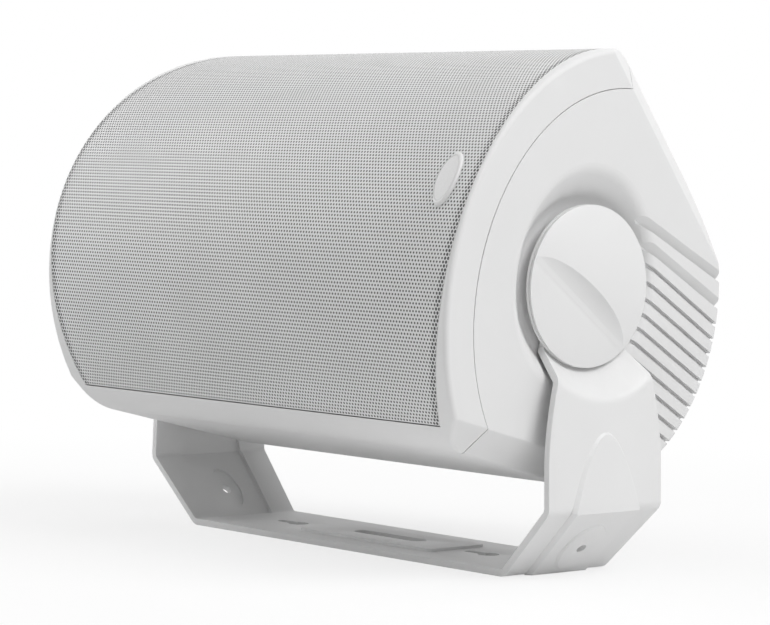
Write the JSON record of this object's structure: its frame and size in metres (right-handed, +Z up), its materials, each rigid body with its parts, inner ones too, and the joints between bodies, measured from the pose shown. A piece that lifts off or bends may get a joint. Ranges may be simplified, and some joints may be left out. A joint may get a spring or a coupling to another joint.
{
  "type": "outdoor patio speaker",
  "caption": "White outdoor loudspeaker with a curved grille and ribbed ends, held by side knobs in a folded yoke bracket so that it can be tilted.",
  "frame": {"origin": "centre of the bracket base on its underside, below the pivot axis", "axes": "+X along the cabinet towards the end with the oval plate, -Y to the front, +Z up"},
  "size_m": [0.2836, 0.1925, 0.2269],
  "materials": {
    "cabinet_plastic": "fine moulded texture",
    "bracket_paint": "smooth powder coat",
    "knob_plastic": "fine moulded texture",
    "grille_paint": "powder coat on sheet",
    "badge_metal": "smooth, bare",
    "scrim_cloth": "thin open weave",
    "seal_rubber": "soft seal",
    "washer_plastic": "waxy",
    "fixing_steel": "zinc plated",
    "insert_brass": "turned",
    "basket_paint": "black coat",
    "cone_paper": "coated, weatherproof",
    "spider_cloth": "impregnated cloth",
    "coil_copper": "enamelled wire",
    "motor_steel": "plated",
    "magnet_ferrite": "sintered",
    "driver_plastic": "moulded",
    "dome_film": "pressed film",
    "board_laminate": "laminate",
    "capacitor_sleeve": "sleeved",
    "resistor_cement": "ceramic",
    "post_metal": "plated",
    "cap_red": "moulded",
    "cap_black": "moulded"
  },
  "bodies": {
    "bracket": {"mounting_bracket": "bracket_paint"},
    "clamp_right": {"knob_right": "knob_plastic", "knob_stud_right": "fixing_steel"},
    "clamp_left": {"knob_left": "knob_plastic", "knob_stud_left": "fixing_steel"},
    "diaphragm": {"woofer_cone": "cone_paper", "woofer_dust_cap": "cone_paper", "voice_coil": "coil_copper"},
    "terminal_cap_red": {"post_cap_red": "cap_red"},
    "terminal_cap_black": {"post_cap_black": "cap_black"},
    "cabinet": {"pivot_insert_right": "insert_brass", "pivot_insert_left": "insert_brass", "friction_washer_right": "washer_plastic", "friction_washer_left": "washer_plastic", "rear_cabinet": "cabinet_plastic", "front_baffle": "cabinet_plastic", "cabinet_gasket": "seal_rubber", "baffle_screws": "fixing_steel", "grille": "grille_paint", "grille_scrim": "scrim_cloth", "badge_plate": "badge_metal", "woofer_basket": "basket_paint", "woofer_gasket": "seal_rubber", "woofer_surround": "seal_rubber", "woofer_spider": "spider_cloth", "woofer_top_plate": "motor_steel", "woofer_magnet": "magnet_ferrite", "woofer_back_plate": "motor_steel", "woofer_screws": "fixing_steel", "tweeter_faceplate": "driver_plastic", "tweeter_dome": "dome_film", "tweeter_motor": "magnet_ferrite", "tweeter_screws": "fixing_steel", "terminal_plate": "driver_plastic", "terminal_screws": "fixing_steel", "binding_post_red": "post_metal", "binding_post_black": "post_metal", "crossover_board": "board_laminate", "board_screws": "fixing_steel", "crossover_coils": "coil_copper", "crossover_capacitors": "capacitor_sleeve", "crossover_resistor": "resistor_cement"}
  },
  "joints": [
    {"name": "cabinet_tilt", "type": "hinge", "parent": "bracket", "child": "cabinet", "pos_m": [0, 0, 0.125], "axis": [-1, 0, 0], "range_deg": [-20, 140]},
    {"name": "knob_right_turn", "type": "hinge", "parent": "cabinet", "child": "clamp_right", "pos_m": [0.124, 0, 0.125], "axis": [1, 0, 0], "range_deg": [0, 360]},
    {"name": "knob_left_turn", "type": "hinge", "parent": "cabinet", "child": "clamp_left", "pos_m": [-0.124, 0, 0.125], "axis": [-1, 0, 0], "range_deg": [0, 360]},
    {"name": "diaphragm_travel", "type": "slide", "parent": "cabinet", "child": "diaphragm", "axis": [0, -0.8704, 0.4924], "range_m": [-0.003, 0.003], "stiffness_N_per_m": 1200, "deforming": ["woofer_surround", "woofer_spider"]},
    {"name": "cap_red_turn", "type": "hinge", "parent": "cabinet", "child": "terminal_cap_red", "pos_m": [-0.0095, 0.07833, 0.08068], "axis": [0, 0.8704, -0.4924], "range_deg": [0, 360]},
    {"name": "cap_black_turn", "type": "hinge", "parent": "cabinet", "child": "terminal_cap_black", "pos_m": [0.0095, 0.07833, 0.08068], "axis": [0, 0.8704, -0.4924], "range_deg": [0, 360]}
  ]
}
